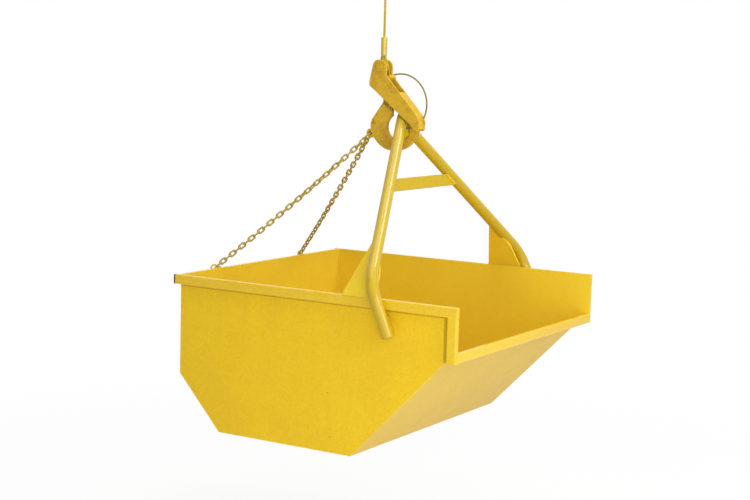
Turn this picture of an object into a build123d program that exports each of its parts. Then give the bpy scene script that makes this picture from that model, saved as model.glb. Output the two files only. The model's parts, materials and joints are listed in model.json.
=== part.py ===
from build123d import *
import math
import os

# Mucking bucket on a rope pendant. All sizes in millimetres, +Z up, the lip to +X.
# It is drawn in the tub's own frame: X from the back wall's outer face, Y from the
# middle, Z from the floor's underside. export_node moves it to the hanging eye.

# tub
TUB_L = 1500.0
TUB_W = 1380.0
TUB_H = 730.0
KNEE_Z = 255.0
FLOOR_BACK = 237.0
FLOOR_FRONT = 972.0
LIP_BOTTOM = 485.0
SHEET = 4.0
SLOPE_STICKOUT = 8.0

# rectangular hollow section round the top
RIM_H = 45.0
RIM_T = 20.0
RIM_WALL = 3.0
RIM_EDGE_R = 4.0
BACK_RIM_WALL = 5.0
CAP_T = 8.0
CAP_PLUG = 14.0

# bail of bent tube, drawn in a plane that leans back over the tub
TUBE_R = 27.0
TUBE_WALL = 4.0
BAIL_APEX_X = 783.0
BAIL_RISE = 748.0
BAIL_LEAN = 23.75
BEND_OVER_RIM = 67.0
BEND_R = 200.0
LEG_BELOW_RIM = 160.9
BRACE_AT = 314.0
BRACE_H = 58.0
BRACE_T = 10.0
BAR_AT = 63.0
BAR_R = 25.0
PAD_SIZE = (36.0, 70.0)
PAD_SET_BACK = 8.0
PAD_BELOW_RIM = 112.4
GUSSET_T = 12.0
GUSSET_H = 230.0
GUSSET_SET_BACK = 24.0
GUSSET_FOOT_X = (920.0, 1100.0)
GUSSET_FOOT_IN = (7.0, -3.0)
GUSSET_TOP_W = 26.0
GUSSET_TOP_DROP = 6.0

# hook plate; from here to the keeper X and Z are measured from where the legs meet
HOOK_T = 28.0
HOOK_BACK = (-35.0, -10.0)
HOOK_R = 136.0
BOWL_AT = (-19.0, -30.0)
BOWL_R = 60.0
TONGUE_X = (-101.0, -51.0)
TONGUE_TOP = 164.0
TIP_DROP = 31.0
EAR = (-169.0, -65.0)
EAR_R = 22.0
EAR_HOLE_R = 12.0
SHOULDER = ((-178.0, -19.0), (-101.0, 87.0))
SHOULDER_R = 60.0
HOOK_EASE = 3.0

# pin that carries the hook and the keeper in the rope's lower eye
ROPE_BACK = 111.0
PIN_Z = 254.0
PIN_R = 10.0
PIN_HEAD_R = 18.0
PIN_HEAD_T = 8.0
WASHER_T = 4.0
COTTER_R = 2.5
COTTER_L = 40.0
STRAP_T = 8.0
STRAP_R = 18.0
RIVETS = ((-79.0, 114.0), (-89.0, 148.0))
RIVET_R = 8.0

# keeper across the hook's mouth
CHEEK_T = 8.0
CHEEK_GAP = 48.0
CHEEK_TOP_Z = 290.0
CHEEK_BACK = ((-171.0, 166.0), (-170.0, 190.0), (-147.0, CHEEK_TOP_Z))
CHEEK_FRONT = ((-76.0, CHEEK_TOP_Z), (-76.0, 217.0), (101.0, 27.0))
CHEEK_END = ((114.0, -3.0), (111.0, -44.0), (85.0, -44.0), (67.0, -19.0))
CHEEK_TOP_R = 34.0
CHEEK_END_R = 10.0
CHEEK_EASE = 1.5
NOSE_X = 87.0
NOSE_R = 12.0
BRIDGE_AT = (-64.0, 205.0)
BRIDGE_SIZE = (18.0, 20.0)
SPINE_FROM = (-7.0, 135.0)
SPINE_TO = (97.0, 23.0)
SPINE_END = (109.0, -36.0)
SPINE_T = 10.0
BOW_AT = (-26.0, 79.0)
BOW_R = 145.0
BOW_FROM = 110.0
BOW_TO = -26.0
BOW_WIRE_R = 3.9

# rope pendant
ROPE_R = 6.0
LOOP_R = 23.0
LOOP_REACH = 55.0
STRAND_GAP = 3.0
THIMBLE_T = 18.0
FERRULE_R = 15.0
FERRULE_L = 88.0
FERRULE_EDGE_R = 4.0
ROPE_L = 205.0

# chains; the lugs' holes are measured from the back wall and the rim's top
CHAIN_WIRE = 8.0
CHAIN_WIDTH = 27.0
CHAIN_LINKS = 32
CHAIN_SAG = 10.0
CHAIN_TWIST = 45.0
RING_R = 24.0
RING_WIRE_R = 4.5
RING_SPLIT = 30.0
LUG_HOLE = (-46.0, -6.0)
LUG_Y = 372.0
LUG_T = 8.0
LUG_R = 20.0
LUG_HOLE_R = 12.0
LUG_FOOT = 20.0
LUG_BITE = 6.3
RING_PULL = 1.0

# clearances
RUNNING = 0.08
SEAT = 0.3

SIDES = {"near": -1.0, "far": 1.0}
HALF_W = TUB_W / 2
BAIL_APEX_Z = TUB_H + BAIL_RISE
PENDANT_L = 2 * LOOP_REACH + 2 * FERRULE_L + ROPE_L
LEAN_SIN = math.sin(math.radians(BAIL_LEAN))
LEAN_COS = math.cos(math.radians(BAIL_LEAN))
LEG_Y = HALF_W + RIM_T + TUBE_R + SEAT
BEND_AT = (BAIL_RISE - BEND_OVER_RIM) / LEAN_COS
LEG_END_AT = (BAIL_RISE + LEG_BELOW_RIM) / LEAN_COS
PAD_AT = (BAIL_RISE + PAD_BELOW_RIM) / LEAN_COS
GUSSET_REACH = (BAIL_RISE - GUSSET_H) / LEAN_COS
ROPE_X = -ROPE_BACK
TIP_Z = -TIP_DROP
BIG = 4000.0
APEX = Pos(BAIL_APEX_X, 0, BAIL_APEX_Z)
EYE = APEX * Pos(ROPE_X, 0, PIN_Z + PENDANT_L)


def export_node(name, shape):
    """Move a piece from the tub's frame to the hanging eye's frame and write it."""
    export_step(EYE.inverse() * shape, f"parts/{name}.step")


def outline(*points):
    """A flat face from X and Z points."""
    return make_face(Polyline(*points, close=True))


def disc(at, radius):
    """A round face at an X and Z point."""
    return Pos(at[0], at[1]) * Circle(radius)


def prism(face, y_low, y_high):
    """A flat X and Z face made as thick as the span in Y."""
    return extrude(Plane.XZ.offset(-y_high) * face, y_high - y_low)


def slab(face, thickness):
    """A flat X and Z face made thick evenly about the middle plane."""
    return prism(face, -thickness / 2, thickness / 2)


def across(side, y_inner, y_outer):
    """The low and high Y of something on the near or the far side."""
    return tuple(sorted((side * y_inner, side * y_outer)))


def block(x_span, y_span, z_span):
    """A box from its spans along the three axes."""
    size = [span[1] - span[0] for span in (x_span, y_span, z_span)]
    middle = [(span[1] + span[0]) / 2 for span in (x_span, y_span, z_span)]
    return Pos(*middle) * Box(*size)


def rod(start, end, radius):
    """A round bar from one point to another."""
    run = Vector(*end) - Vector(*start)
    return extrude(Plane(origin=start, z_dir=run) * Circle(radius), run.length)


def rounded(shape, along, radius):
    """A section with its long outer edges rounded."""
    return fillet(shape.edges().filter_by(along), radius)


def eased(plate, width, hole_r):
    """A plate with its profile's edges eased, those of holes up to hole_r left sharp."""
    edges = plate.faces().filter_by(Axis.Y).edges()
    profile = edges.filter_by(lambda e: e.geom_type != GeomType.CIRCLE or e.radius > hole_r)
    return chamfer(profile, width)


def bail_point(y, reach):
    """A point in the bail's plane, reach measured down from where the legs meet."""
    return (BAIL_APEX_X + reach * LEAN_SIN, y, BAIL_APEX_Z - reach * LEAN_COS)


os.makedirs("parts", exist_ok=True)

# End plates: one flat plate on each side, with the outline of the whole tub.
# The front slope runs up behind the lip bar, its inner face flush with the bar's top.
LIP_BACK = TUB_L - RIM_T
LIP_Z = (LIP_BOTTOM, LIP_BOTTOM + RIM_H)
back_turn = math.atan2(KNEE_Z, FLOOR_BACK)
lip_reach = math.hypot(LIP_BACK - FLOOR_FRONT, LIP_Z[1])
front_turn = math.atan2(LIP_Z[1], LIP_BACK - FLOOR_FRONT) - math.asin(SHEET / lip_reach)
tub_outline = outline(
    (0, TUB_H),
    (0, KNEE_Z),
    (FLOOR_BACK, 0),
    (FLOOR_FRONT, 0),
    (FLOOR_FRONT + LIP_BOTTOM / math.tan(front_turn), LIP_BOTTOM),
    (TUB_L, LIP_BOTTOM),
    (TUB_L, TUB_H),
)
for side_name, side in SIDES.items():
    end_plate = prism(tub_outline, *across(side, HALF_W - SHEET, HALF_W))
    export_node(f"{side_name}_end_plate", end_plate)

# Shell: four plates between the end plates, mitred where floor and slopes meet.
SHELL_W = TUB_W - 2 * SHEET
back_mitre = (FLOOR_BACK + SHEET * math.tan(back_turn / 2), SHEET)
front_mitre = (FLOOR_FRONT - SHEET * math.tan(front_turn / 2), SHEET)


def on_back_slope(x):
    """Height of the back slope's inner face."""
    return SHEET + (back_mitre[0] - x) * math.tan(back_turn)


slope_top = (
    -SLOPE_STICKOUT * math.cos(back_turn),
    KNEE_Z + SLOPE_STICKOUT * math.sin(back_turn),
)
slope_top_inner = (
    slope_top[0] + SHEET * math.sin(back_turn),
    slope_top[1] + SHEET * math.cos(back_turn),
)
slope_at_lip = (LIP_BACK, (LIP_BACK - FLOOR_FRONT) * math.tan(front_turn))
shell = {
    "back_wall": ((0, TUB_H), (0, on_back_slope(0)), (SHEET, on_back_slope(SHEET)), (SHEET, TUB_H)),
    "back_slope": (slope_top, (FLOOR_BACK, 0), back_mitre, slope_top_inner),
    "floor_plate": ((FLOOR_BACK, 0), (FLOOR_FRONT, 0), front_mitre, back_mitre),
    "front_slope": ((FLOOR_FRONT, 0), slope_at_lip, (LIP_BACK, LIP_Z[1]), front_mitre),
}
for name, points in shell.items():
    export_node(name, slab(outline(*points), SHELL_W))

# Rims: hollow section outside the plates, with plugged caps in the side rims' back ends.
RIM_Z = (TUB_H - RIM_H, TUB_H)
RIM_HOLE_Z = (RIM_Z[0] + RIM_WALL, RIM_Z[1] - RIM_WALL)
for side_name, side in SIDES.items():
    rim_y = across(side, HALF_W, HALF_W + RIM_T)
    hole_y = across(side, HALF_W + RIM_WALL, HALF_W + RIM_T - RIM_WALL)
    side_rim = rounded(block((-RIM_T, TUB_L), rim_y, RIM_Z), Axis.X, RIM_EDGE_R)
    side_rim -= block((-BIG, TUB_L - RIM_WALL), hole_y, RIM_HOLE_Z)
    export_node(f"{side_name}_side_rim", side_rim)
    cap = rounded(block((-RIM_T - CAP_T, -RIM_T), rim_y, RIM_Z), Axis.X, RIM_EDGE_R)
    plug_y = across(side, HALF_W + RIM_WALL + SEAT, HALF_W + RIM_T - RIM_WALL - SEAT)
    cap += block((-RIM_T, CAP_PLUG - RIM_T), plug_y, (RIM_HOLE_Z[0] + SEAT, RIM_HOLE_Z[1] - SEAT))
    export_node(f"{side_name}_rim_cap", cap)
    post_x = (TUB_L - RIM_H, TUB_L)
    post = rounded(block(post_x, rim_y, (LIP_BOTTOM, RIM_Z[0])), Axis.Z, RIM_EDGE_R)
    post -= block((post_x[0] + RIM_WALL, post_x[1] - RIM_WALL), hole_y, (0, BIG))
    export_node(f"{side_name}_front_post", post)
back_rim = rounded(block((-RIM_T, 0), (-HALF_W, HALF_W), RIM_Z), Axis.Y, RIM_EDGE_R)
back_rim -= block(
    (BACK_RIM_WALL - RIM_T, -BACK_RIM_WALL),
    (-BIG, BIG),
    (RIM_Z[0] + BACK_RIM_WALL, RIM_Z[1] - BACK_RIM_WALL),
)
export_node("back_rim", back_rim)
lip_bar = block((LIP_BACK, TUB_L), (-SHELL_W / 2, SHELL_W / 2), LIP_Z)
lip_bar = rounded(lip_bar, Axis.Y, RIM_EDGE_R)
lip_bar -= block(
    (LIP_BACK + RIM_WALL, TUB_L - RIM_WALL),
    (-BIG, BIG),
    (LIP_Z[0] + RIM_WALL, LIP_Z[1] - RIM_WALL),
)
export_node("lip_bar", lip_bar)

# Bail legs: one bent tube each side, cut off flat where the two meet in the middle.
def leg_sweep(side, section):
    """The section carried along one leg, past the middle and cut off there."""
    past = -0.2
    start = bail_point(side * LEG_Y, LEG_END_AT)
    bend = bail_point(side * LEG_Y, BEND_AT)
    top = bail_point(side * LEG_Y * past, BEND_AT * past)
    path = FilletPolyline(start, bend, top, radius=BEND_R)
    leg = sweep(Plane(origin=start, z_dir=path % 0) * section, path=path)
    return leg & block((-BIG, BIG), across(side, 0, BIG), (-BIG, BIG))


leg_solids = {}
for side_name, side in SIDES.items():
    leg_solids[side_name] = leg_sweep(side, Circle(TUBE_R))
    leg = leg_sweep(side, Circle(TUBE_R) - Circle(TUBE_R - TUBE_WALL))
    export_node(f"{side_name}_bail_leg", leg)
    pad_x, _, pad_z = bail_point(0, PAD_AT)
    pad_y = side * (HALF_W + RIM_T / 2)
    pad = Pos(pad_x - PAD_SET_BACK, pad_y, pad_z) * Rot(0, -BAIL_LEAN, 0)
    pad = pad * Box(PAD_SIZE[0], RIM_T, PAD_SIZE[1])
    export_node(f"{side_name}_leg_pad", pad)


def between_legs(bar):
    """The middle length of a cross bar after both legs are cut out of it."""
    pieces = (bar - leg_solids["near"] - leg_solids["far"]).solids()
    return min(pieces, key=lambda piece: abs(piece.center().Y))


bail_plane = Plane(origin=bail_point(0, 0), x_dir=(0, 1, 0), z_dir=(LEAN_COS, 0, LEAN_SIN))
brace_half = LEG_Y * BRACE_AT / BEND_AT
brace = Plane(bail_point(0, BRACE_AT), bail_plane.x_dir, bail_plane.z_dir) * Box(
    2 * brace_half, BRACE_H, BRACE_T
)
export_node("bail_brace", between_legs(brace))
BAR = bail_point(0, BAR_AT)
bar_half = LEG_Y * BAR_AT / BEND_AT
apex_bar = rod((BAR[0], -bar_half, BAR[2]), (BAR[0], bar_half, BAR[2]), BAR_R)
export_node("apex_bar", between_legs(apex_bar))

# Gussets: plates from the side rims up to the backs of the legs.
for side_name, side in SIDES.items():
    feet = [
        Vector(x, side * (HALF_W + RIM_T - set_in), TUB_H)
        for x, set_in in zip(GUSSET_FOOT_X, GUSSET_FOOT_IN)
    ]
    foot_back, foot_front = feet
    on_leg = Vector(*bail_point(side * LEG_Y * GUSSET_REACH / BEND_AT, GUSSET_REACH))
    top = on_leg - Vector(GUSSET_SET_BACK, 0, 0)
    slope = Plane(foot_back, foot_front - foot_back, (foot_front - foot_back).cross(top - foot_back))
    corners = [slope.to_local_coords(point) for point in (foot_back, foot_front, top)]
    rise = corners[2].Y
    gusset_face = make_face(
        Polyline(
            (0, -GUSSET_T),
            (corners[1].X, -GUSSET_T),
            (corners[1].X * 0.82, rise * 0.5),
            (corners[2].X + GUSSET_TOP_W, rise - GUSSET_TOP_DROP),
            (corners[2].X, rise),
            (0, 0),
            close=True,
        )
    )
    gusset = extrude(slope * gusset_face, GUSSET_T / 2, both=True)
    gusset = gusset & block((-BIG, BIG), (-BIG, BIG), (TUB_H, BIG))
    gusset = (gusset - leg_solids[side_name]).solids().sort_by(SortBy.VOLUME)[-1]
    export_node(f"{side_name}_gusset", gusset)

# Hook: a thick profile plate, its bowl narrowing to a seat for the apex bar.
bar_middle = (BAR_AT * LEAN_SIN, -BAR_AT * LEAN_COS)
seat_r = BAR_R + SEAT
bar_seat = disc(bar_middle, seat_r)
seat_side = bar_middle[0] + seat_r
bowl_face = make_hull(disc(BOWL_AT, BOWL_R).edges() + bar_seat.edges())
bowl_face += outline(bar_middle, (seat_side, bar_middle[1]), (seat_side, TIP_Z), (bar_middle[0], TIP_Z))
ear_face = make_hull(disc(EAR, EAR_R).edges() + disc((EAR[0] + 2 * EAR_R, EAR[1]), EAR_R).edges())
hook_face = disc(HOOK_BACK, HOOK_R) + ear_face
hook_face -= bowl_face
hook_face -= outline((TONGUE_X[1], TIP_Z), (BIG, TIP_Z), (BIG, BIG), (TONGUE_X[1], BIG))
hook_face -= outline((-BIG, SHOULDER[0][1]), *SHOULDER, (SHOULDER[1][0], BIG), (-BIG, BIG))
shoulder_corner = hook_face.vertices().sort_by_distance((*SHOULDER[0], 0))[0]
hook_face = fillet(shoulder_corner, SHOULDER_R)
hook_face += outline(
    (TONGUE_X[0], HOOK_BACK[1] + HOOK_R / 2),
    (TONGUE_X[1], HOOK_BACK[1] + HOOK_R / 2),
    (TONGUE_X[1], TONGUE_TOP),
    (TONGUE_X[0], TONGUE_TOP),
)
hook_face -= disc(EAR, EAR_HOLE_R)
rivet_holes = [disc(at, RIVET_R) for at in RIVETS]
hook_plate = eased(slab(hook_face - rivet_holes, HOOK_T), HOOK_EASE, EAR_HOLE_R)
export_node("hook_plate", APEX * hook_plate)

# Straps from the hook's tongue up to the rope pin, riveted through the tongue.
strap_discs = [disc(at, STRAP_R) for at in ((ROPE_X, PIN_Z),) + RIVETS]
strap_face = make_hull(Sketch(children=strap_discs).edges())
strap_face = strap_face - disc((ROPE_X, PIN_Z), PIN_R) - rivet_holes
STRAP_OUT = HOOK_T / 2 + STRAP_T
for side_name, side in SIDES.items():
    strap = prism(strap_face, *across(side, HOOK_T / 2, STRAP_OUT))
    export_node(f"{side_name}_hook_strap", APEX * strap)
rivets = [slab(disc(at, RIVET_R), 2 * STRAP_OUT) for at in RIVETS]
export_node("strap_rivets", APEX * Compound(children=rivets))

# Rope pin with its washer and split pin, outside the keeper's cheeks.
CHEEK_OUT = CHEEK_GAP / 2 + CHEEK_T
pin_face = disc((ROPE_X, PIN_Z), PIN_R)
head_y = (-CHEEK_OUT - SEAT - PIN_HEAD_T, -CHEEK_OUT - SEAT)
washer_y = (CHEEK_OUT + SEAT, CHEEK_OUT + SEAT + WASHER_T)
cotter_y = washer_y[1] + COTTER_R
pin = prism(pin_face, head_y[1], cotter_y + 4 * COTTER_R)
pin += prism(disc((ROPE_X, PIN_Z), PIN_HEAD_R), *head_y)
cotter = rod(
    (ROPE_X, cotter_y, PIN_Z - COTTER_L / 2), (ROPE_X, cotter_y, PIN_Z + COTTER_L / 2), COTTER_R
)
export_node("rope_pin", APEX * (pin - cotter))
export_node("rope_pin_cotter", APEX * cotter)
washer = prism(disc((ROPE_X, PIN_Z), PIN_HEAD_R) - disc((ROPE_X, PIN_Z), PIN_R), *washer_y)
export_node("rope_pin_washer", APEX * washer)

# Keeper: two cheeks turning on the rope pin, joined by bridge, spine and nose pin.
NOSE = (NOSE_X, TIP_Z + SEAT + NOSE_R)
spine_angle = math.degrees(math.atan2(SPINE_TO[1] - SPINE_FROM[1], SPINE_TO[0] - SPINE_FROM[0]))


def strip(start, end, width):
    """A straight strip between two X and Z points."""
    run = (end[0] - start[0], end[1] - start[1])
    turn = Rot(0, 0, math.degrees(math.atan2(run[1], run[0])))
    middle = Pos((start[0] + end[0]) / 2, (start[1] + end[1]) / 2)
    return middle * turn * Rectangle(math.hypot(*run), width)


spine_face = strip(SPINE_FROM, SPINE_TO, SPINE_T) + disc(SPINE_TO, SPINE_T / 2)
spine_face += strip(SPINE_TO, SPINE_END, SPINE_T)
bridge_face = Pos(*BRIDGE_AT) * Rot(0, 0, spine_angle) * Rectangle(*BRIDGE_SIZE)
export_node("keeper_spine", APEX * slab(spine_face, CHEEK_GAP))
export_node("keeper_bridge", APEX * slab(bridge_face, CHEEK_GAP))
export_node("keeper_nose_pin", APEX * slab(disc(NOSE, NOSE_R), 2 * CHEEK_OUT))
BOW_Y = (CHEEK_GAP + CHEEK_T) / 2


def on_bow(turn):
    """A point on the pull bow's centre line, in the far cheek's thickness."""
    return (BOW_AT[0] + BOW_R * math.cos(turn), BOW_Y, BOW_AT[1] + BOW_R * math.sin(turn))


bow_turns = (math.radians(BOW_FROM), math.radians(BOW_TO))
bow_path = ThreePointArc(on_bow(bow_turns[0]), on_bow(sum(bow_turns) / 2), on_bow(bow_turns[1]))
bow = sweep(Plane(origin=bow_path @ 0, z_dir=bow_path % 0) * Circle(BOW_WIRE_R), path=bow_path)
export_node("pull_bow", APEX * bow)
cheek_face = outline(*CHEEK_BACK, *CHEEK_FRONT, *CHEEK_END)
top_corners = cheek_face.vertices().filter_by(lambda corner: corner.Y > CHEEK_TOP_Z - SEAT)
cheek_face = fillet(top_corners, CHEEK_TOP_R)
end_corners = cheek_face.vertices().filter_by(lambda corner: corner.Y < SPINE_TO[1])
cheek_face = fillet(end_corners, CHEEK_END_R)
cheek_face -= disc((ROPE_X, PIN_Z), PIN_R + RUNNING)
cheek_face -= disc(NOSE, NOSE_R)
for side_name, side in SIDES.items():
    cheek = prism(cheek_face, *across(side, CHEEK_GAP / 2, CHEEK_OUT))
    cheek = eased(cheek, CHEEK_EASE, NOSE_R) - bow
    export_node(f"{side_name}_keeper_cheek", APEX * cheek)

# Rope pendant: rope between two ferrules, each with a loop round a thimble.
strand_x = ROPE_R + STRAND_GAP / 2
strand_far = math.hypot(strand_x, LOOP_REACH)
tangent = math.atan2(LOOP_REACH, strand_x) - math.acos(LOOP_R / strand_far)


def loop_path(reach):
    """The rope's line round a thimble at the origin, its ends carried on by reach."""
    touch = Vector(LOOP_R * math.cos(tangent), 0, LOOP_R * math.sin(tangent))
    end = Vector(strand_x, 0, LOOP_REACH)
    end = end + (end - touch).normalized() * reach
    mirror_touch = Vector(-touch.X, 0, touch.Z)
    mirror_end = Vector(-end.X, 0, end.Z)
    round_end = ThreePointArc(touch, (0, 0, -LOOP_R), mirror_touch)
    return Wire([Line(end, touch), round_end, Line(mirror_touch, mirror_end)])


def loop_solid(radius, reach):
    """The loop as a round rope of the given radius."""
    path = loop_path(reach)
    return sweep(Plane(origin=path @ 0, z_dir=path % 0) * Circle(radius), path=path)


below_ferrule = block((-BIG, BIG), (-BIG, BIG), (-BIG, LOOP_REACH))
rope_loop = loop_solid(ROPE_R, 2.0) & below_ferrule
thimble_face = make_hull(
    (Circle(LOOP_R) + Pos(0, LOOP_REACH - ROPE_R) * Circle(ROPE_R / 2)).edges()
)
thimble = slab(thimble_face - Circle(PIN_R + RUNNING), THIMBLE_T) - loop_solid(ROPE_R + SEAT / 2, 2.0)
ferrule = Pos(0, 0, LOOP_REACH + FERRULE_L / 2) * Cylinder(FERRULE_R, FERRULE_L)
ferrule = fillet(ferrule.edges().filter_by(GeomType.CIRCLE), FERRULE_EDGE_R)
lower_eye = APEX * Pos(ROPE_X, 0, PIN_Z)
upper_eye = EYE * Rot(0, 180, 0)
for end_name, eye in {"lower": lower_eye, "upper": upper_eye}.items():
    export_node(f"{end_name}_rope_loop", eye * rope_loop)
    export_node(f"{end_name}_thimble", eye * thimble)
    export_node(f"{end_name}_ferrule", eye * ferrule)
rope_foot = LOOP_REACH + FERRULE_L
rope = rod((0, 0, rope_foot), (0, 0, rope_foot + ROPE_L), ROPE_R)
export_node("hoist_rope", lower_eye * rope)

# Chain ring through the hook's ear, pulled towards the lugs on the back rim.
ear_middle = Vector(BAIL_APEX_X + EAR[0], 0, BAIL_APEX_Z + EAR[1])
lug_line = Vector(LUG_HOLE[0], 0, TUB_H + LUG_HOLE[1])
pull = (lug_line - ear_middle).normalized()
side_way = Vector(0, 1, 0)
ring_normal = pull.cross(side_way)
ring_middle = ear_middle + pull * (RING_R + RING_PULL)
ring = Plane(origin=ring_middle, z_dir=ring_normal) * Torus(RING_R, RING_WIRE_R)
export_node("chain_ring", ring)

# Chain lugs welded to the outside of the back rim, each turned to face the ring.
lug_foot = (LUG_R + LUG_FOOT, -RIM_H - LUG_HOLE[1], -LUG_HOLE[1])
lug_face = make_hull(
    Circle(LUG_R).edges()
    + outline(
        (LUG_R, lug_foot[1]),
        (lug_foot[0], lug_foot[1]),
        (lug_foot[0], lug_foot[2]),
        (LUG_R, lug_foot[2]),
    ).edges()
)
lug_face = lug_face - Circle(LUG_HOLE_R)


def chain_link(pitch):
    """One link along X, its flat in X and Y."""
    turn_r = (CHAIN_WIDTH - CHAIN_WIRE) / 2
    half = (pitch + CHAIN_WIRE) / 2 + SEAT / 4 - turn_r
    path = Wire(
        [
            Line((-half, turn_r, 0), (half, turn_r, 0)),
            ThreePointArc((half, turn_r, 0), (half + turn_r, 0, 0), (half, -turn_r, 0)),
            Line((half, -turn_r, 0), (-half, -turn_r, 0)),
            ThreePointArc((-half, -turn_r, 0), (-half - turn_r, 0, 0), (-half, turn_r, 0)),
        ]
    )
    section = Plane(origin=(-half, turn_r, 0), z_dir=(1, 0, 0)) * Circle(CHAIN_WIRE / 2)
    return sweep(section, path=path)


for side_name, side in SIDES.items():
    split = math.radians(RING_SPLIT)
    on_ring = ring_middle + (pull * math.cos(split) + side_way * side * math.sin(split)) * RING_R
    lug_middle = lug_line + side_way * side * LUG_Y
    along = (on_ring - lug_middle).normalized()
    lug_way = Vector(along.X, along.Y, 0).normalized()
    lug_side = Vector(-lug_way.Y, lug_way.X, 0)
    lug_plane = Plane(lug_middle, lug_way, -lug_side)
    lug = extrude(lug_plane * lug_face, LUG_T / 2, both=True)
    lug = lug & block((-BIG, -RIM_T), (-BIG, BIG), (-BIG, BIG))
    export_node(f"{side_name}_chain_lug", lug)
    low = lug_middle + along * LUG_BITE
    high = on_ring + along * (RING_WIRE_R + CHAIN_WIRE / 2 + SEAT)
    run = high - low
    hang = run.cross(Vector(0, 0, -1)).cross(run).normalized()
    pitch = (run.length - CHAIN_WIRE) / CHAIN_LINKS
    link = chain_link(pitch)
    links = []
    for index in range(CHAIN_LINKS):
        part_way = ((pitch + CHAIN_WIRE) / 2 + index * pitch) / run.length
        drop = CHAIN_SAG * 4 * part_way * (1 - part_way)
        heading = run + hang * (CHAIN_SAG * 4 * (1 - 2 * part_way))
        ahead = heading.normalized()
        across_link = lug_side * (1 - part_way) + side_way * part_way
        flat = (across_link - ahead * across_link.dot(ahead)).normalized()
        lift = ahead.cross(flat)
        turn = math.radians(CHAIN_TWIST) * math.sin(math.pi * part_way**2) ** 2
        upright = lift * math.cos(turn) - flat * math.sin(turn)
        flatwise = flat * math.cos(turn) + lift * math.sin(turn)
        stand = upright if index % 2 == 0 else flatwise
        place = Plane(low + run * part_way + hang * drop, heading, stand)
        links.append(place * link)
    export_node(f"{side_name}_chain", Compound(children=links))
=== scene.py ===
import json
import math

import bmesh
import bpy
from bpy.props import FloatProperty, FloatVectorProperty, IntProperty, PointerProperty
from mathutils import Matrix, Vector


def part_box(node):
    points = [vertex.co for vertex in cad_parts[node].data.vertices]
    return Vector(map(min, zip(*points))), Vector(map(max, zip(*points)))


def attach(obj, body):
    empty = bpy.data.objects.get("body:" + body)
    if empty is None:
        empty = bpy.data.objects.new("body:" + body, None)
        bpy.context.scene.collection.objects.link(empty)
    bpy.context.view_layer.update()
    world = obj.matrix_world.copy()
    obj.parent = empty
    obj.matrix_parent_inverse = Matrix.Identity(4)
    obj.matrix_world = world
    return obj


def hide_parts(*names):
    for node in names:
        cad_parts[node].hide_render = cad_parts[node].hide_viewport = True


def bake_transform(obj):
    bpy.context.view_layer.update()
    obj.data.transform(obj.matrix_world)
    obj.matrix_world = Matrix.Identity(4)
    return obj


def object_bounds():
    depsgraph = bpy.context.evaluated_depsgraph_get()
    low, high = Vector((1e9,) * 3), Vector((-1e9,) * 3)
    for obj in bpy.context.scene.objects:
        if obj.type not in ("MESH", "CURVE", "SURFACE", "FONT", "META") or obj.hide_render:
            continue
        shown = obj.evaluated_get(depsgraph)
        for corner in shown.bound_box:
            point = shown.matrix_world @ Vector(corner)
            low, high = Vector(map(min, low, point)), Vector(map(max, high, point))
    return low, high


bl_info = {
    "name": "Mucking bucket dressing",
    "version": (1, 0, 0),
    "blender": (4, 5, 0),
    "location": "View3D > Sidebar > Bucket",
    "description": "Paint, rope lay, chains, weld beads and stage for the mucking bucket",
    "category": "Object",
}

# Metres in the CAD frame: X to the front, Y to the far side, Z up
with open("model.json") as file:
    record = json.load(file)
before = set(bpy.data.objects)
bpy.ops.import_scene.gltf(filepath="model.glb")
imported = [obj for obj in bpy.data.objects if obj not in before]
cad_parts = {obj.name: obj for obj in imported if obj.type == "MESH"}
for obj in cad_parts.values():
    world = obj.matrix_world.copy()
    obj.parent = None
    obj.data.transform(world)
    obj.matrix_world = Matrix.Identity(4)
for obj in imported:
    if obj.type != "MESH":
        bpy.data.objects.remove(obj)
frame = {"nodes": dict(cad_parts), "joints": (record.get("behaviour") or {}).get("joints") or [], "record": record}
CAD_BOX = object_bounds()
NODES = frame["nodes"]
BODIES = frame["record"]["behaviour"]["bodies"]
JOINTS = {joint["name"]: joint for joint in frame["joints"]}
SIDES = {"near": -1.0, "far": 1.0}
ACROSS = Vector((0, 1, 0))
UPWARD = Vector((0, 0, 1))

# The bail as the solids have it: where its legs' middles meet, how they lean forward,
# and half the clear width between them, LEG_SPREAD times the reach down less LEG_INSIDE
BAIL_TOP_X = 0.111
BAIL_TOP_Z = -0.745
BAIL_LEAN = math.radians(23.75)
LEG_SPREAD = 0.9910
LEG_INSIDE = 0.0373

# The rope's eye round a thimble: its bow in degrees, and the ends in the ferrule
EYE_RADIUS = 0.023
EYE_FIRST = 16.7
EYE_SWEEP = 213.4
EYE_STEPS = 24
EYE_LEAD_STEPS = 4
EYE_END_APART = 0.0075
EYE_END_UP = 0.055

# The rope's strands, a little thick so that they touch
ROPE_STEP = 0.004
STRAND_SIDES = 10
STRAND_SWELL = 1.06

# A weld bead's section and how its width changes along it
BEAD_SIDES = 8
BEAD_STEPS_A_RIPPLE = 3
RIPPLE_SWELL = 0.13
DRIFT_SWELL = 0.06
DRIFT_RATE = 37

# Where the beads run, from the nearest faces and ends of the solids
SEAM_INSET = 0.0015
WALL_TOP_GAP = 0.004
FLOOR_END_GAP = 0.0017
LIP_BACK = 0.012
LIP_DOWN = 0.0125
GUSSET_FOOT = ((0.252, 0.0137), (0.420, 0.0045))
PAD_HALF_WIDTH = 0.010
PAD_OUT = 0.001
RIM_END_GAP = 0.005
BRACE_REACH = (0.288, 0.340)
BRACE_HALF_THICKNESS = 0.005
POST_END_GAP = 0.004
LUG_Y = 0.3573
LUG_HALF_THICKNESS = 0.0046

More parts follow.
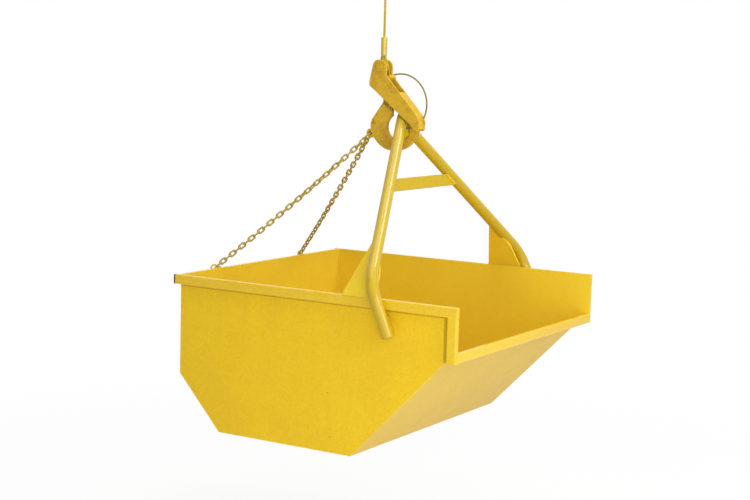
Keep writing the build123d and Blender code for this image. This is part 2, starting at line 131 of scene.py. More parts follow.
# Painted shade on the end plates, and painted shade with grease on the hook, as widths and places
SOFT_EDGE = 0.001
OUTER_FACE = (0.002, 0.0005)
SHADE_UNDER_RIM = 0.009
SHADE_BY_POST = 0.024
CHEEK_SHADE_START = Vector((-0.060, 0.0, -0.5790))
CHEEK_SHADE_END = Vector((0.100, 0.0, -0.7034))
CHEEK_SHADE_WIDTH = 0.024

# Each lamp's name, its place from the middle of the tub, its size and its watts
LAMPS = (
    ("key_light", (3.1, -4.2, 0.6), (3.2, 3.2), 98.0),
    ("front_light", (4.9, -1.6, 0.2), (1.6, 2.4), 10.0),
    ("foot_glint", (4.8, -1.7, 2.5), (1.4, 1.4), 95.0),
    ("leg_glint", (3.5, 2.8, 8.0), (2.2, 2.2), 230.0),
    ("top_light", (0.2, -0.8, 8.0), (7.0, 7.0), 400.0),
)
LAMPS_OVER_FOOT = 0.5
PLAIN_LIGHT = 0.305
FLOOR_SIZE = 40.0
FLOOR_CELLS = 8
FLOOR_WHITE_NEAR = 0.88
FLOOR_WHITE_GAIN = 0.12
SENSOR_WIDTH = 36.0
VIEW_END = 200.0


class PaintSettings(bpy.types.PropertyGroup):
    """Colours and gloss of the painted steel"""

    tub: FloatVectorProperty(
        name="Tub yellow",
        description="Sprayed yellow on the tub, its rims and its bail",
        subtype="COLOR",
        size=3,
        min=0.0,
        max=1.0,
        default=(0.830, 0.560, 0.016),
    )
    tub_shade: FloatVectorProperty(
        name="Tub ochre",
        description="Darker cloudy patches in the tub's paint",
        subtype="COLOR",
        size=3,
        min=0.0,
        max=1.0,
        default=(0.690, 0.405, 0.018),
    )
    hook: FloatVectorProperty(
        name="Hook yellow",
        description="Brushed-on paint of the hook and keeper",
        subtype="COLOR",
        size=3,
        min=0.0,
        max=1.0,
        default=(0.670, 0.430, 0.021),
    )
    hook_shade: FloatVectorProperty(
        name="Hook ochre",
        description="Rubbed and stained paint on the hook and keeper",
        subtype="COLOR",
        size=3,
        min=0.0,
        max=1.0,
        default=(0.510, 0.300, 0.023),
    )
    chain: FloatVectorProperty(
        name="Chain ochre",
        description="Paint left on the chains",
        subtype="COLOR",
        size=3,
        min=0.0,
        max=1.0,
        default=(0.440, 0.330, 0.036),
    )
    rust: FloatVectorProperty(
        name="Bare steel",
        description="Brown bare steel where the paint is knocked off",
        subtype="COLOR",
        size=3,
        min=0.0,
        max=1.0,
        default=(0.150, 0.070, 0.025),
    )
    gloss: FloatProperty(
        name="Roughness",
        description="Roughness of sound paint",
        subtype="FACTOR",
        min=0.1,
        max=0.9,
        default=0.36,
    )


class RopeSettings(bpy.types.PropertyGroup):
    """The wire rope's make-up"""

    radius: FloatProperty(
        name="Rope radius",
        description="Outside radius of the laid rope",
        unit="LENGTH",
        min=0.002,
        max=0.02,
        default=0.006,
    )
    strands: IntProperty(
        name="Strands",
        description="Strands round the rope's core",
        min=3,
        max=8,
        default=6,
    )
    lay: FloatProperty(
        name="Lay length",
        description="Length in which a strand goes once round the rope",
        unit="LENGTH",
        min=0.03,
        max=0.2,
        default=0.078,
    )
    colour: FloatVectorProperty(
        name="Rope colour",
        description="Yellowed, greased wire",
        subtype="COLOR",
        size=3,
        min=0.0,
        max=1.0,
        default=(0.540, 0.410, 0.025),
    )


class WeldSettings(bpy.types.PropertyGroup):
    """Weld beads"""

    leg: FloatProperty(
        name="Bead radius",
        description="Half width of a fillet weld",
        unit="LENGTH",
        min=0.001,
        max=0.01,
        default=0.0042,
    )
    ripple: FloatProperty(
        name="Ripple spacing",
        description="Distance between the ripples of a bead",
        unit="LENGTH",
        min=0.002,
        max=0.02,
        default=0.0075,
    )


class StageSettings(bpy.types.PropertyGroup):
    """Camera and floor"""

    lens: FloatProperty(
        name="Lens",
        description="Focal length on a sensor 36 mm wide",
        unit="CAMERA",
        min=20.0,
        max=200.0,
        default=73.87,
    )
    camera_at: FloatVectorProperty(
        name="Camera position",
        description="Where the camera stands",
        subtype="TRANSLATION",
        unit="LENGTH",
        size=3,
        default=(3.8823, -6.3856, -0.4651),
    )
    camera_turn: FloatVectorProperty(
        name="Camera turn",
        description="The camera's rotation",
        subtype="EULER",
        size=3,
        default=(math.radians(83.016), math.radians(-1.592), math.radians(31.622)),
    )
    drop: FloatProperty(
        name="Height over the floor",
        description="Gap between the bucket and the floor",
        unit="LENGTH",
        min=0.0,
        max=3.0,
        default=0.65,
    )


def settings(context, name):
    """One of the property groups kept on the scene."""
    return getattr(context.scene, "bucket_" + name)


# Materials


def toned(colour, share):
    """A colour made darker or lighter, by one share or by one for each part."""
    shares = share if isinstance(share, tuple) else (share, share, share)
    return [min(1.0, part * amount) for part, amount in zip(colour, shares)]


class Finish:
    """A node material under construction."""

    def __init__(self, name):
        self.material = bpy.data.materials.new(name)
        self.material.use_nodes = True
        self.tree = self.material.node_tree
        self.shader = self.tree.nodes["Principled BSDF"]
        self.place = self.tree.nodes.new("ShaderNodeTexCoord").outputs["Object"]

    def set(self, **values):
        """Constants on the shader's own sockets."""
        for name, value in values.items():
            self.shader.inputs[name.replace("_", " ")].default_value = value

    def put(self, kind, links=(), **values):
        """A node with its values and its inputs linked."""
        node = self.tree.nodes.new(kind)
        for name, value in values.items():
            setattr(node, name, value)
        for socket, source in dict(links).items():
            if isinstance(source, bpy.types.NodeSocket):
                self.tree.links.new(source, node.inputs[socket])
            else:
                node.inputs[socket].default_value = source
        return node

    def stretched(self, scale, turn=(0.0, 0.0, 0.0)):
        """Object coordinates stretched and turned."""
        links = {"Vector": self.place, "Scale": scale, "Rotation": turn}
        return self.put("ShaderNodeMapping", links).outputs["Vector"]

    def noise(self, scale, detail, rough, where=None, warp=0.0):
        """Cloudy noise."""
        links = {
            "Vector": where or self.place,
            "Scale": scale,
            "Detail": detail,
            "Roughness": rough,
            "Distortion": warp,
        }
        return self.put("ShaderNodeTexNoise", links).outputs["Fac"]

    def ramp(self, source, low, high):
        """A smooth step from 0 at low to 1 at high."""
        links = {"Value": source, "From Min": low, "From Max": high}
        node = self.put("ShaderNodeMapRange", links, interpolation_type="SMOOTHSTEP")
        return node.outputs["Result"]

    def along(self, axis):
        """One of the object's coordinates."""
        return self.put("ShaderNodeSeparateXYZ", {"Vector": self.place}).outputs[axis]

    def dot(self, way):
        """How far a point lies in a direction."""
        links = {0: self.place, 1: way}
        return self.put("ShaderNodeVectorMath", links, operation="DOT_PRODUCT").outputs["Value"]

    def strip(self, source, low, high):
        """1 between low and high, with soft ends."""
        past = self.rest(self.ramp(source, high - SOFT_EDGE, high + SOFT_EDGE))
        return self.times(self.ramp(source, low - SOFT_EDGE, low + SOFT_EDGE), past)

    def math(self, operation, first, second):
        """Two values through one sum."""
        links = {0: first, 1: second}
        return self.put("ShaderNodeMath", links, operation=operation).outputs["Value"]

    def times(self, first, second):
        """Two values multiplied."""
        return self.math("MULTIPLY", first, second)

    def plus(self, first, second):
        """Two values added."""
        return self.math("ADD", first, second)

    def rest(self, source):
        """What a value leaves of 1."""
        return self.math("SUBTRACT", 1.0, source)

    def mix(self, amount, first, second):
        """Two colours mixed."""
        node = self.put("ShaderNodeMix", data_type="RGBA")
        for index, source in ((0, amount), (6, first), (7, second)):
            if isinstance(source, bpy.types.NodeSocket):
                self.tree.links.new(source, node.inputs[index])
            else:
                value = source if index == 0 else (*source[:3], 1.0)
                node.inputs[index].default_value = value
        return node.outputs[2]

    def feed(self, socket, source):
        """A node's output into the shader."""
        self.tree.links.new(source, self.shader.inputs[socket])

    def bump(self, height, strength, distance):
        """A bump under the shader's normal, on top of any there is."""
        links = {"Height": height, "Strength": strength, "Distance": distance}
        node = self.put("ShaderNodeBump", links)
        normal = self.shader.inputs["Normal"]
        if normal.is_linked:
            self.tree.links.new(normal.links[0].from_socket, node.inputs["Normal"])
        self.tree.links.new(node.outputs["Normal"], normal)


def corner_painted_shade(finish, outside):
    """Painted shade under the rim and beside the post on an end plate's outer face, where they shade it."""
    rim_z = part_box("far_side_rim")[0][2]
    post_x, _, post_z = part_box("far_front_post")[0]
    height = finish.along("Z")
    under_rim = finish.strip(height, rim_z - SHADE_UNDER_RIM, rim_z)
    by_post = finish.strip(finish.along("X"), post_x - SHADE_BY_POST, post_x)
    by_post = finish.times(by_post, finish.strip(height, post_z, rim_z))
    return finish.times(outside, finish.math("MAXIMUM", under_rim, by_post))


def sprayed_paint(name, paint, cloud, streak, coat, tone=1.0, muck=0.0, face_y=None):
    """Sprayed paint over plate: clouds, runs, orange peel, scuffs and small chips.

    Muck dulls the paint. With face_y, the outer face there stays clear of it and holds painted shade under the rim
    and beside the post.
    """
    finish = Finish(name)
    base, shade = toned(paint.tub, tone), toned(paint.tub_shade, tone)
    clouds = finish.noise(3.2, detail=6.0, rough=0.62, warp=0.6)
    mottle = finish.noise(46.0, detail=7.0, rough=0.72)
    both = finish.plus(finish.times(clouds, 0.5), finish.times(mottle, 0.5))
    colour = finish.mix(finish.times(finish.ramp(both, 0.38, 0.64), cloud), base, shade)
    upright = finish.stretched((3.0, 3.0, 0.5))
    runs = finish.noise(7.0, detail=5.0, rough=0.6, where=upright, warp=0.4)
    runs = finish.times(finish.ramp(runs, 0.48, 0.85), streak)
    colour = finish.mix(runs, colour, toned(shade, 0.62))
    slanted = finish.stretched((0.6, 2.6, 5.0), (0.2, 0.5, 0.3))
    scuffs = finish.noise(30.0, detail=8.0, rough=0.75, where=slanted)
    scuffs = finish.times(finish.ramp(scuffs, 0.62, 0.78), 0.25)
    colour = finish.mix(scuffs, colour, [min(1.0, part * 1.25 + 0.05) for part in base])
    grain = finish.noise(150.0, detail=4.0, rough=0.65)
    colour = finish.mix(finish.times(finish.ramp(grain, 0.42, 0.66), 0.45), colour, shade)
    if face_y:
        off_middle = finish.math("ABSOLUTE", finish.along("Y"), 0.0)
        outside = finish.ramp(off_middle, *[face_y - inward for inward in OUTER_FACE])
        muck = finish.times(finish.rest(outside), muck)
        # painted shade: darker strips under the rim and beside the post on the outer face
        painted_shade = finish.times(corner_painted_shade(finish, outside), 0.5)
        colour = finish.mix(painted_shade, colour, toned(shade, 0.42))
    if muck:
        colour = finish.mix(muck, colour, (0.80, 0.70, 0.085))
    spots = finish.noise(70.0, detail=3.0, rough=0.5)
    patches = finish.noise(5.0, detail=3.0, rough=0.5)
    chipped = finish.times(finish.ramp(spots, 0.735, 0.765), finish.ramp(patches, 0.5, 0.62))
    finish.feed("Base Color", finish.mix(chipped, colour, paint.rust))
    dull = finish.plus(finish.times(mottle, 0.26), paint.gloss - 0.1)
    finish.feed("Roughness", finish.plus(dull, finish.times(chipped, 0.3)))
    finish.bump(finish.noise(420.0, detail=2.0, rough=0.5), strength=0.12, distance=0.0006)
    finish.bump(finish.noise(14.0, detail=3.0, rough=0.5), strength=0.10, distance=0.004)
    finish.bump(finish.rest(chipped), strength=0.35, distance=0.0008)
    finish.set(Coat_Weight=coat, Coat_IOR=1.4, Coat_Roughness=0.09, Specular_IOR_Level=0.12)
    return finish.material


def cheek_shade_and_grease(finish):
    """Painted shade and grease in broken strokes on the hook, in a strip under the keeper's cheeks, where the
    cheeks shade it.
    """
    run = (CHEEK_SHADE_END - CHEEK_SHADE_START).normalized()
    down = Vector((run.z, 0.0, -run.x))
    strokes = finish.ramp(finish.noise(260.0, detail=3.0, rough=0.6), 0.45, 0.54)
    edge = down.dot(CHEEK_SHADE_START)
    below = finish.strip(finish.dot(down), edge, edge + CHEEK_SHADE_WIDTH)
    beside = finish.strip(finish.dot(run), run.dot(CHEEK_SHADE_START), run.dot(CHEEK_SHADE_END))
    return finish.times(finish.times(below, beside), strokes)


def brushed_paint(name, paint, shaded_and_greasy=False):
    """Thick brushed-on paint, rubbed through to bare steel in places."""
    finish = Finish(name)
    clouds = finish.noise(16.0, detail=6.0, rough=0.65, warp=0.8)
    colour = finish.mix(finish.ramp(clouds, 0.38, 0.66), paint.hook, paint.hook_shade)
    brushed = finish.stretched((0.35, 1.4, 1.2), (0.0, 0.75, 0.0))
    strokes = finish.noise(60.0, detail=6.0, rough=0.6, where=brushed)
    light = finish.times(finish.ramp(strokes, 0.5, 0.7), 0.4)
    colour = finish.mix(light, colour, toned(paint.hook, 1.3))
    grain = finish.ramp(finish.noise(190.0, detail=4.0, rough=0.65), 0.42, 0.64)
    colour = finish.mix(finish.times(grain, 0.5), colour, toned(paint.hook_shade, 0.8))
    if shaded_and_greasy:
        # painted shade and grease: dark broken strokes under the keeper's cheeks
        colour = finish.mix(finish.times(cheek_shade_and_grease(finish), 0.85), colour, (0.060, 0.036, 0.010))
    fine = finish.noise(85.0, detail=5.0, rough=0.6)
    worn = finish.times(fine, finish.noise(11.0, detail=3.0, rough=0.5))
    worn = finish.times(finish.ramp(worn, 0.43, 0.46), 0.8)
    finish.feed("Base Color", finish.mix(worn, colour, paint.rust))
    finish.feed("Roughness", finish.plus(finish.times(clouds, 0.3), paint.gloss))
    finish.bump(strokes, strength=0.2, distance=0.0012)
    finish.bump(finish.rest(worn), strength=0.4, distance=0.0008)
    finish.set(Specular_IOR_Level=0.25)
    return finish.material


def moulded_black(name):
    """Black moulded plastic, scuffed grey in places."""
    finish = Finish(name)
    lengthways = finish.stretched((0.5, 2.0, 2.0))
    scuffs = finish.noise(140.0, detail=6.0, rough=0.7, where=lengthways)
    black, grey = (0.012, 0.012, 0.012), (0.06, 0.055, 0.05)
    finish.feed("Base Color", finish.mix(finish.ramp(scuffs, 0.55, 0.8), black, grey))
    finish.feed("Roughness", finish.plus(finish.times(scuffs, 0.3), 0.35))
    finish.bump(finish.noise(900.0, detail=2.0, rough=0.5), strength=0.15, distance=0.0003)
    return finish.material


def rubbed_steel(name, base, rust, rough, metal, grain):
    """Steel or alloy under thin paint, rubbed bright and stained."""
    finish = Finish(name)
    stain = finish.noise(55.0, detail=6.0, rough=0.65, warp=0.5)
    upright = finish.stretched((1.0, 1.0, 0.25))
    fine = finish.noise(grain, detail=4.0, rough=0.6, where=upright)
    colour = finish.mix(finish.ramp(stain, 0.45, 0.75), base, toned(base, 0.7))
    colour = finish.mix(finish.times(finish.ramp(fine, 0.6, 0.8), 0.35), colour, rust)
    finish.feed("Base Color", colour)
    finish.feed("Roughness", finish.plus(finish.times(fine, 0.25), rough))
    finish.bump(fine, strength=0.25, distance=0.0005)
    finish.set(Metallic=metal)
    return finish.material


def seen_rays(tree):
    """1 for rays from the camera and for those that a mirror or glass sends on, else 0."""
    rays = tree.nodes.new("ShaderNodeLightPath").outputs
    seen = rays["Is Camera Ray"]
    for kind in ("Is Glossy Ray", "Is Transmission Ray"):
        either = tree.nodes.new("ShaderNodeMath")
        either.operation = "MAXIMUM"
        tree.links.new(seen, either.inputs[0])
        tree.links.new(rays[kind], either.inputs[1])
        seen = either.outputs[0]
    return seen


def floor_finish():
    """Pale floor that shows white to the camera and keeps a soft shadow."""
    finish = Finish("pale_floor")
    grain = finish.times(finish.noise(3.0, detail=4.0, rough=0.55), 0.3)
    finish.feed("Base Color", finish.mix(grain, (0.9, 0.9, 0.9), (0.84, 0.84, 0.84)))
    finish.set(Roughness=0.9)
    level = {0: finish.stretched((1.0, 1.0, 0.0))}
    away = finish.put("ShaderNodeVectorMath", level, operation="LENGTH").outputs["Value"]
    white_gain = finish.times(finish.ramp(away, 1.2, 5.0), FLOOR_WHITE_GAIN)
    share = finish.times(seen_rays(finish.tree), finish.plus(white_gain, FLOOR_WHITE_NEAR))
    white = finish.put("ShaderNodeEmission", {"Color": (1.0, 1.0, 1.0, 1.0), "Strength": 1.0})
    both = {0: share, 1: finish.shader.outputs[0], 2: white.outputs[0]}
    mixed = finish.put("ShaderNodeMixShader", both)
    surface = finish.tree.nodes["Material Output"].inputs["Surface"]
    finish.tree.links.new(mixed.outputs[0], surface)
    return finish.material


def wear(material, *pieces):
    """Give pieces one material in all their slots."""
    for piece in pieces:
        piece.data.materials.clear()
        piece.data.materials.append(material)


# Meshes


def new_piece(name, mesh_maker):
    """A smooth mesh object from a bmesh, its place in its mesh."""
    if not mesh_maker.faces:
        raise RuntimeError(name + " has no faces")
    mesh = bpy.data.meshes.new(name)
    mesh_maker.normal_update()
    mesh_maker.to_mesh(mesh)
    mesh_maker.free()
    piece = bpy.data.objects.new(name, mesh)
    bpy.context.collection.objects.link(piece)
    mesh.shade_smooth()
    return piece


def spline_points(name, points):
    """Points along a smooth line through a route, read from its spline."""
    curve = bpy.data.curves.new(name, "CURVE")
    curve.dimensions = "3D"
    curve.resolution_u = 24
    spline = curve.splines.new("NURBS")
    spline.points.add(len(points) - 1)
    for knot, point in zip(spline.points, points):
        knot.co = (*point, 1.0)
    spline.order_u = 3
    spline.use_endpoint_u = True
    guide = bpy.data.objects.new(name, curve)
    line = bpy.data.meshes.new_from_object(guide)
    found = [vertex.co.copy() for vertex in line.vertices]
    bpy.data.objects.remove(guide)
    bpy.data.curves.remove(curve)
    bpy.data.meshes.remove(line)
    return found


def even_steps(points, step):
    """The same line walked in equal steps, with its length so far at each."""
    walked = [0.0]
    for first, second in zip(points, points[1:]):
        walked.append(walked[-1] + (second - first).length)
    count = max(2, round(walked[-1] / step))
    stops, leg = [], 0
    for index in range(count + 1):
        reach = walked[-1] * index / count
        while leg < len(points) - 2 and walked[leg + 1] < reach:
            leg += 1
        share = (reach - walked[leg]) / (walked[leg + 1] - walked[leg])
        stops.append((points[leg].lerp(points[leg + 1], share), reach))
    return stops


def frames_along(stops, up):
    """A frame at each stop, Z along the line."""
    frames = []
    for index, (point, _) in enumerate(stops):
        ahead = stops[min(index + 1, len(stops) - 1)][0] - stops[max(index - 1, 0)][0]
        ahead.normalize()
        side = up.cross(ahead).normalized()
        turn = Matrix((side, ahead.cross(side), ahead)).transposed().to_4x4()
        frames.append(Matrix.Translation(point) @ turn)
    return frames


def edges_among(edges, verts):
    """The edges with both ends among some vertices."""
    inside = set(verts)
    return [edge for edge in edges if edge.verts[0] in inside and edge.verts[1] in inside]


def swept_circle(frames, sides, radius):
    """A closed bar: a capped circle extruded through a list of frames."""
    mesh = bmesh.new()
    verts = bmesh.ops.create_circle(
        mesh, cap_ends=True, segments=sides, radius=radius, matrix=frames[0]
    )["verts"]
    edges = edges_among(mesh.edges, verts)
    for before, after in zip(frames, frames[1:]):
        made = bmesh.ops.extrude_edge_only(mesh, edges=edges)["geom"]
        verts = [item for item in made if isinstance(item, bmesh.types.BMVert)]
        edges = [item for item in made if isinstance(item, bmesh.types.BMEdge)]
        edges = edges_among(edges, verts)
        bmesh.ops.transform(mesh, matrix=after @ before.inverted(), verts=verts)
    bmesh.ops.contextual_create(mesh, geom=edges)
    bmesh.ops.recalc_face_normals(mesh, faces=mesh.faces)
    return mesh


def add_mesh(mesh, other):
    """Put a finished bmesh into another and free it."""
    held = bpy.data.meshes.new("held")
    other.to_mesh(held)
    other.free()
    mesh.from_mesh(held)
    bpy.data.meshes.remove(held)


def laid_rope(name, points, rope):
    """Twisted strands round a core, along a line."""
    whole = bmesh.new()
    stops = even_steps(points, ROPE_STEP)
    frames = frames_along(stops, ACROSS)
    share = math.sin(math.pi / rope.strands)
    strand = rope.radius * share / (1 + share)
    out = rope.radius - strand
    bars = [(2 * math.pi * index / rope.strands, out, strand * STRAND_SWELL)
            for index in range(rope.strands)]
    core = (2 * math.pi, 0.0, out)
    for start, offset, radius in bars + [core]:
        twisted = []
        for place, (_, reach) in zip(frames, stops):
            turn = Matrix.Rotation(start + 2 * math.pi * reach / rope.lay, 4, "Z")
            twisted.append(place @ turn @ Matrix.Translation((offset, 0, 0)))
        add_mesh(whole, swept_circle(twisted, STRAND_SIDES, radius))
    return new_piece(name, whole)


def eye_line(name, middle, towards):
    """The rope's line round a thimble, from the ferrule and back to it."""
    turns = [math.radians(EYE_FIRST - step * EYE_SWEEP / EYE_STEPS)
             for step in range(EYE_STEPS + 1)]
    bow = [Vector((EYE_RADIUS * math.cos(turn), 0, EYE_RADIUS * math.sin(turn))) for turn in turns]
    first, last = [Vector((side * EYE_END_APART, 0, EYE_END_UP)) for side in (1, -1)]
    lead = [first.lerp(bow[0], step / EYE_LEAD_STEPS) for step in range(EYE_LEAD_STEPS)]
    trail = [bow[-1].lerp(last, step / EYE_LEAD_STEPS) for step in range(1, EYE_LEAD_STEPS + 1)]
    route = [Vector(middle) + Vector((point.x, 0, towards * point.z))
             for point in lead + bow + trail]
    return spline_points(name, route)


def weld_bead(points, weld):
    """A rippled weld bead along a line."""
    points = [Vector(point) for point in points]
    run = (points[-1] - points[0]).normalized()
    up = UPWARD if abs(run.y) > 0.9 else ACROSS
    stops = even_steps(points, weld.ripple / BEAD_STEPS_A_RIPPLE)
    frames = []
    for place, (_, reach) in zip(frames_along(stops, up), stops):
        ripple = RIPPLE_SWELL * math.sin(2 * math.pi * reach / weld.ripple)
        swell = 1 + ripple + DRIFT_SWELL * math.sin(DRIFT_RATE * reach)
        frames.append(place @ Matrix.Scale(swell, 4))
    return swept_circle(frames, BEAD_SIDES, weld.leg)


def welds_piece(name, lines, weld, material):
    """All beads of one group as one piece on the bucket."""
    mesh = bmesh.new()
    for line in lines:
        add_mesh(mesh, weld_bead(line, weld))
    piece = new_piece(name, mesh)
    wear(material, piece)
    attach(piece, "bucket")


def copy_of_node(name, node):
    """A merged, smooth-shaded copy of a CAD node's mesh."""
    mesh = bmesh.new()
    mesh.from_mesh(NODES[node].data)
    bmesh.ops.remove_doubles(mesh, verts=mesh.verts, dist=1e-6)
    return new_piece(name, mesh)


# Operators


class BUCKET_OT_paint_tub(bpy.types.Operator):
    """Paint the tub, its rims and its bail"""

    bl_idname = "bucket.paint_tub"
    bl_label = "Paint tub"

    def execute(self, context):
        paint = settings(context, "paint")
        face_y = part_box("far_end_plate")[1][1]
        # The slope's and the bail's paints are darker copies of the tub paint, as painted shade: the slope's on
        # its downward face, the bail's on the legs and brace near the lamps, which also get a greener tint. The
        # rim's paint is a little darker too.
        bail_shade_and_tint = (0.64, 0.66, 0.62)
        sheet = {"cloud": 0.32, "streak": 0.09, "coat": 0.02}
        plain = sprayed_paint("tub_paint", paint, muck=0.25, **sheet)
        plate = sprayed_paint("plate_paint", paint, muck=0.25, face_y=face_y, **sheet)
        slope = sprayed_paint("slope_paint", paint, tone=0.87, **sheet)
        rim = sprayed_paint("rim_paint", paint, cloud=0.2, streak=0.0, coat=0.6, tone=0.93)
        tube = sprayed_paint("tube_paint", paint, cloud=0.2, streak=0.03, coat=0.6, tone=bail_shade_and_tint)
        flat = sprayed_paint("brace_paint", paint, cloud=0.3, streak=0.05, coat=0.02, tone=bail_shade_and_tint)
        finishes = {
            "rim_cap": moulded_black("cap_plastic"),
            "leg": tube,
            "apex": tube,
            "brace": flat,
            "rim": rim,
            "post": rim,
            "lip": rim,
            "end_plate": plate,
            "front_slope": slope,
        }
        for name in BODIES["bucket"]:
            fitting = [finish for part, finish in finishes.items() if part in name]
            wear(fitting[0] if fitting else plain, NODES[name])
        return {"FINISHED"}


class BUCKET_OT_paint_hook(bpy.types.Operator):
    """Paint the hook, its straps, the keeper and the pull bow"""

    bl_idname = "bucket.paint_hook"
    bl_label = "Paint hook and keeper"

    def execute(self, context):
        paint = settings(context, "paint")
        brushed = brushed_paint("hook_paint", paint)
        for name in BODIES["hook"] + BODIES["keeper"]:
            wear(brushed, NODES[name])
        # the hook plate also gets painted shade and grease under the keeper's cheeks
        wear(brushed_paint("hook_plate_paint", paint, shaded_and_greasy=True), NODES["hook_plate"])
        bow = rubbed_steel(
            "bow_wire", (0.23, 0.19, 0.032), paint.rust, rough=0.45, metal=0.0, grain=220.0
        )
        wear(bow, NODES["pull_bow"])
        pin = rubbed_steel(
            "pin_steel", (0.42, 0.33, 0.12), paint.rust, rough=0.3, metal=0.7, grain=300.0
        )
        wear(pin, NODES["rope_pin_washer"], NODES["rope_pin_cotter"])
        thimble = rubbed_steel(
            "thimble_steel", (0.62, 0.45, 0.05), paint.rust, rough=0.45, metal=0.0, grain=260.0
        )
        wear(thimble, NODES["upper_thimble"], NODES["lower_thimble"])
        return {"FINISHED"}


class BUCKET_OT_lay_rope(bpy.types.Operator):
    """Lay the rope and its two eyes from strands"""

    bl_idname = "bucket.lay_rope"
    bl_label = "Lay rope"

    def execute(self, context):
        rope = settings(context, "rope")
        rust = settings(context, "paint").rust
        wire = rubbed_steel("rope_wire", rope.colour, rust, rough=0.42, metal=0.1, grain=900.0)
        sleeve = rubbed_steel(
            "ferrule", (0.56, 0.415, 0.06), rust, rough=0.24, metal=0.2, grain=300.0
        )
        pin = JOINTS["hook_swing"]["pos_m"]
        for end, middle, towards in (("lower", pin, 1.0), ("upper", (0, 0, 0), -1.0)):
            loop = laid_rope(end + "_eye_lay", eye_line(end + "_eye_line", middle, towards), rope)
            wear(wire, loop)
            wear(sleeve, NODES[end + "_ferrule"])
            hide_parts(end + "_rope_loop")
            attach(loop, "pendant")
        low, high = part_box("hoist_rope")
        route = [Vector((0, 0, z)) for z in (low[2], (low[2] + high[2]) / 2, high[2])]
        line = spline_points("rope_line", route)
        piece = laid_rope("hoist_rope_lay", line, rope)
        wear(wire, piece)
        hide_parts("hoist_rope")
        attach(piece, "pendant")
        return {"FINISHED"}


class BUCKET_OT_hang_chains(bpy.types.Operator):
    """Hang the two rear chains as merged, smooth copies of their links"""

    bl_idname = "bucket.hang_chains"
    bl_label = "Hang chains"

    def execute(self, context):
        paint = settings(context, "paint")
        metal = rubbed_steel(
            "chain_paint", paint.chain, paint.rust, rough=0.38, metal=0.15, grain=260.0
        )
        wear(metal, NODES["chain_ring"])
        for side in SIDES:
            node = side + "_chain"
            piece = copy_of_node(node + "_links", node)
            wear(metal, piece)
            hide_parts(node)
            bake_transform(piece)
        return {"FINISHED"}


class BUCKET_OT_run_welds(bpy.types.Operator):
    """Run weld beads along the tub's seams and where the bail and lugs are fixed"""

    bl_idname = "bucket.run_welds"
    bl_label = "Run welds"

    def execute(self, context):
        weld = settings(context, "weld")
        material = NODES["back_wall"].data.materials[0]
        welds_piece("tub_seam_welds", self.tub_seams(), weld, material)
        welds_piece("bail_foot_welds", self.bail_feet(), weld, material)
        welds_piece("brace_welds", self.brace_ends(), weld, material)
        welds_piece("post_welds", self.post_tops(), weld, material)
        welds_piece("lug_welds", self.lug_feet(), weld, material)
        return {"FINISHED"}

    def tub_seams(self):
        """Inside corners along both end plates, and the folds across the tub."""
        floor, wall, slope = [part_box(name) for name in ("floor_plate", "back_wall", "front_slope")]
        plate_y = floor[1][1] - SEAM_INSET
        corners = [
            (wall[1][0] + SEAM_INSET, wall[1][2] - WALL_TOP_GAP),
            (wall[1][0] + SEAM_INSET, wall[0][2] + SEAM_INSET),
            (floor[0][0] + FLOOR_END_GAP + SEAM_INSET, floor[1][2] + SEAM_INSET),
            (floor[1][0] - FLOOR_END_GAP - SEAM_INSET, floor[1][2] + SEAM_INSET),
            (slope[1][0] - LIP_BACK - SEAM_INSET, slope[1][2] - LIP_DOWN),
        ]
        seams = [[(x, side * plate_y, z) for x, z in corners] for side in SIDES.values()]
        return seams + [[(x, -plate_y, z), (x, plate_y, z)] for x, z in corners[1:4]]

    def bail_feet(self):
        """The gussets' feet on the rim, and both edges of the pads outside it."""
        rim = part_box("far_side_rim")
        lines = []
        for side in SIDES.values():
            lines.append([(x, side * (rim[1][1] - inward), rim[1][2]) for x, inward in GUSSET_FOOT])
            pad_y = side * (rim[1][1] + PAD_OUT)
            for offset in (-PAD_HALF_WIDTH, PAD_HALF_WIDTH):
                lines.append([(self.leg_x(z) + offset, pad_y, z) for z in self.rim_heights()])
        return lines

    def brace_ends(self):
        """The brace's ends at the legs, on both of its faces."""
        lines = []
        for side in SIDES.values():
            for face in (-BRACE_HALF_THICKNESS, BRACE_HALF_THICKNESS):
                lines.append([self.by_leg(side, reach, face) for reach in BRACE_REACH])
        return lines

    def post_tops(self):
        """The front posts' tops under the side rims."""
        rim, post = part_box("far_side_rim"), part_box("far_front_post")
        ends = (post[0][0] + POST_END_GAP, post[1][0] - POST_END_GAP)
        post_y = rim[1][1] - POST_END_GAP
        return [[(x, side * post_y, rim[0][2]) for x in ends] for side in SIDES.values()]

    def lug_feet(self):
        """Both faces of the chain lugs, down the back rim."""
        back_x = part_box("back_rim")[0][0]
        lines = []
        for side in SIDES.values():
            for offset in (-LUG_HALF_THICKNESS, LUG_HALF_THICKNESS):
                face_y = side * LUG_Y + offset
                lines.append([(back_x, face_y, z) for z in self.rim_heights()])
        return lines

    def rim_heights(self):
        """Upper and lower end of a bead down the rim."""
        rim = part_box("far_side_rim")
        return rim[1][2] - RIM_END_GAP, rim[0][2] + RIM_END_GAP

    def by_leg(self, side, reach, face):
        """A point at a leg's inside, reach down from where the legs meet, face off their plane."""
        x = BAIL_TOP_X + reach * math.sin(BAIL_LEAN) + face * math.cos(BAIL_LEAN)
        z = BAIL_TOP_Z - reach * math.cos(BAIL_LEAN) + face * math.sin(BAIL_LEAN)
        return (x, side * (LEG_SPREAD * reach - LEG_INSIDE), z)

    def leg_x(self, z):
        """The legs' middle at a height."""
        return BAIL_TOP_X + (BAIL_TOP_Z - z) * math.tan(BAIL_LEAN)


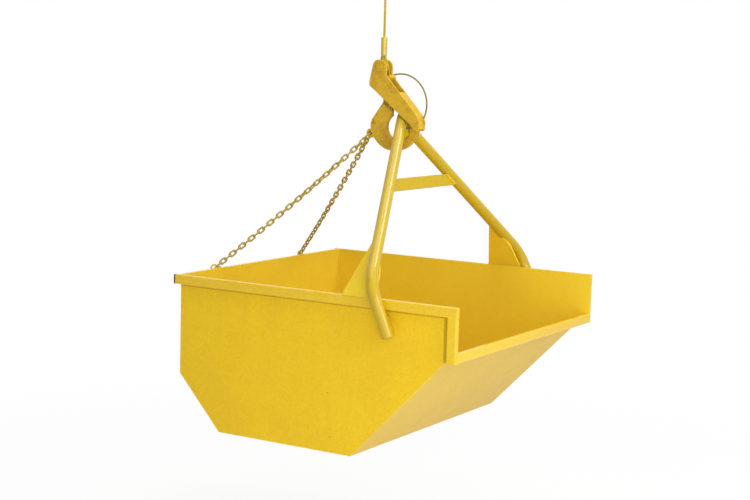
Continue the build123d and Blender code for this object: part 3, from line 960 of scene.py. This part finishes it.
class BUCKET_OT_set_stage(bpy.types.Operator):
    """Floor, lights, background and camera"""

    bl_idname = "bucket.set_stage"
    bl_label = "Set stage"

    def execute(self, context):
        stage = settings(context, "stage")
        self.add_floor(CAD_BOX[0][2] - stage.drop)
        self.add_lamps(context)
        self.add_world(context.scene)
        self.add_camera(context, stage)
        context.scene.view_settings.view_transform = "Standard"
        return {"FINISHED"}

    def add_floor(self, floor_z):
        """A wide floor, far enough under the bucket for a faint shadow."""
        mesh = bmesh.new()
        bmesh.ops.create_grid(
            mesh,
            x_segments=FLOOR_CELLS,
            y_segments=FLOOR_CELLS,
            size=FLOOR_SIZE,
            matrix=Matrix.Translation((0, 0, floor_z)),
        )
        floor = new_piece("floor", mesh)
        wear(floor_finish(), floor)

    def add_lamps(self, context):
        """The lamps, each turned to the middle of the tub."""
        middle_x = (CAD_BOX[0][0] + CAD_BOX[1][0]) / 2
        middle = Vector((middle_x, 0, CAD_BOX[0][2] + LAMPS_OVER_FOOT))
        for name, offset, size, power in LAMPS:
            data = bpy.data.lights.new(name, "AREA")
            data.shape = "RECTANGLE"
            data.size, data.size_y = size
            data.energy = power
            lamp = bpy.data.objects.new(name, data)
            context.collection.objects.link(lamp)
            lamp.location = middle + Vector(offset)
            lamp.rotation_euler = (-Vector(offset)).to_track_quat("-Z", "Y").to_euler()

    def add_world(self, scene):
        """A background that is white to look at and gives a plain soft light."""
        world = bpy.data.worlds.new("studio")
        world.use_nodes = True
        tree = world.node_tree
        strength = tree.nodes.new("ShaderNodeMapRange")
        strength.inputs["To Min"].default_value = PLAIN_LIGHT
        strength.inputs["To Max"].default_value = 1.0
        tree.links.new(seen_rays(tree), strength.inputs["Value"])
        back = tree.nodes["Background"]
        back.inputs["Color"].default_value = (1.0, 1.0, 1.0, 1.0)
        tree.links.new(strength.outputs["Result"], back.inputs["Strength"])
        scene.world = world

    def add_camera(self, context, stage):
        """The camera that took the photo."""
        data = bpy.data.cameras.new("photo_camera")
        data.sensor_width = SENSOR_WIDTH
        data.lens = stage.lens
        data.clip_end = VIEW_END
        camera = bpy.data.objects.new("photo_camera", data)
        context.collection.objects.link(camera)
        camera.location = stage.camera_at
        camera.rotation_euler = stage.camera_turn
        context.scene.camera = camera


class BUCKET_PT_panel(bpy.types.Panel):
    """Buttons for each step, in order"""

    bl_idname = "BUCKET_PT_panel"
    bl_label = "Mucking bucket"
    bl_space_type = "VIEW_3D"
    bl_region_type = "UI"
    bl_category = "Bucket"

    def draw(self, context):
        for step in STEPS:
            self.layout.operator(step.bl_idname)
        for name, group in GROUPS.items():
            box = self.layout.box()
            box.label(text=group.__doc__)
            for prop in group.__annotations__:
                box.prop(settings(context, name), prop)


GROUPS = {
    "paint": PaintSettings,
    "rope": RopeSettings,
    "weld": WeldSettings,
    "stage": StageSettings,
}
STEPS = (
    BUCKET_OT_paint_tub,
    BUCKET_OT_paint_hook,
    BUCKET_OT_lay_rope,
    BUCKET_OT_hang_chains,
    BUCKET_OT_run_welds,
    BUCKET_OT_set_stage,
)


def register():
    for group in GROUPS.values():
        bpy.utils.register_class(group)
    for name, group in GROUPS.items():
        setattr(bpy.types.Scene, "bucket_" + name, PointerProperty(type=group))
    for step in STEPS + (BUCKET_PT_panel,):
        bpy.utils.register_class(step)


def unregister():
    for step in STEPS + (BUCKET_PT_panel,):
        bpy.utils.unregister_class(step)
    for name, group in GROUPS.items():
        delattr(bpy.types.Scene, "bucket_" + name)
        bpy.utils.unregister_class(group)


def main():
    register()
    bpy.ops.bucket.paint_tub()
    bpy.ops.bucket.paint_hook()
    bpy.ops.bucket.lay_rope()
    bpy.ops.bucket.hang_chains()
    bpy.ops.bucket.run_welds()
    bpy.ops.bucket.set_stage()


if __name__ == "__main__":
    main()
